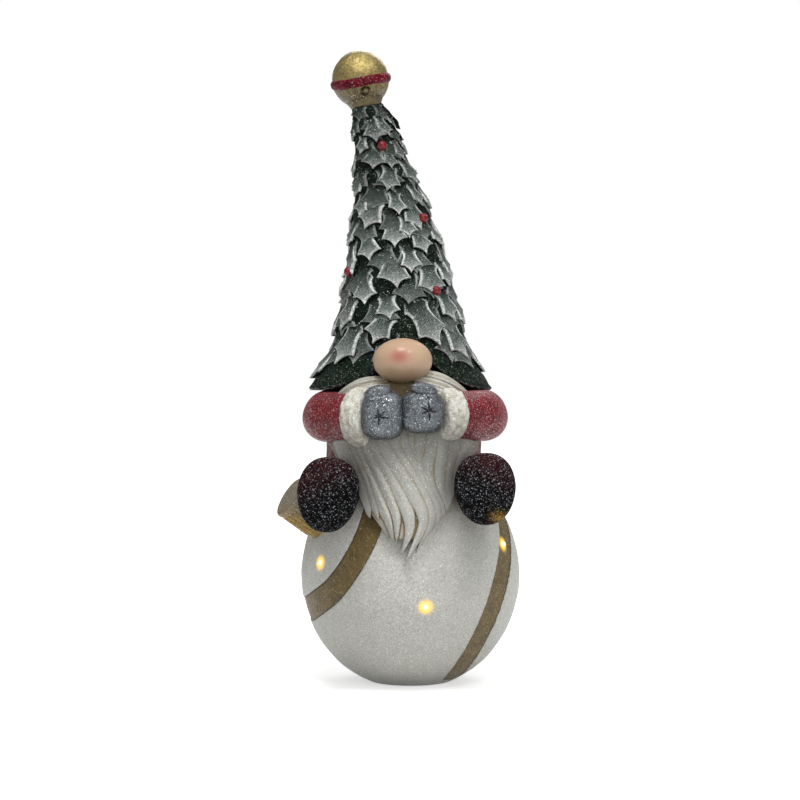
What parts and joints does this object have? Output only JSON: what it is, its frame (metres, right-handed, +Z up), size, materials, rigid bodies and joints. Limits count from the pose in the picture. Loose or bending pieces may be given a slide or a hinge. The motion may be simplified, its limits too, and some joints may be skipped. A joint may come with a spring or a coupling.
{
  "type": "gnome statue",
  "caption": "Glitter-painted cast gnome with a tall holly-leaf hat and bell, seated on a white ornament ball with gold swirls and small warm lamps",
  "frame": {"origin": "Middle of the object's bounding box in X and Y, on the surface it stands on", "axes": "+Z up, the gnome's face and boot soles look to -Y, +X to the viewer's right"},
  "size_m": [0.2086, 0.2259, 0.5512],
  "materials": {
    "painted_casting": "painted cast stone mix with glitter",
    "lamp_lens": "clear warm lamp, lit",
    "wire_cover": "soft wire cover",
    "tray_plastic": "moulded, fine grain",
    "plated_steel": "plated",
    "cell_label": "plain printed sleeve"
  },
  "bodies": {
    "statue": {"statue_casting": "painted_casting", "led_lamp_left": "lamp_lens", "led_lamp_front": "lamp_lens", "led_lamp_right": "lamp_lens", "lamp_wire_left": "wire_cover", "lamp_wire_front": "wire_cover", "lamp_wire_right": "wire_cover", "battery_tray": "tray_plastic", "battery_door": "tray_plastic", "door_screw": "plated_steel", "battery_front": "cell_label", "battery_back": "cell_label", "contact_bridge": "plated_steel", "contact_front": "plated_steel", "contact_back": "plated_steel"},
    "switch": {"switch_slider": "tray_plastic"}
  },
  "joints": [
    {"name": "power_switch", "type": "slide", "parent": "statue", "child": "switch", "axis": [1, 0, 0], "range_m": [-0.003, 0]}
  ]
}
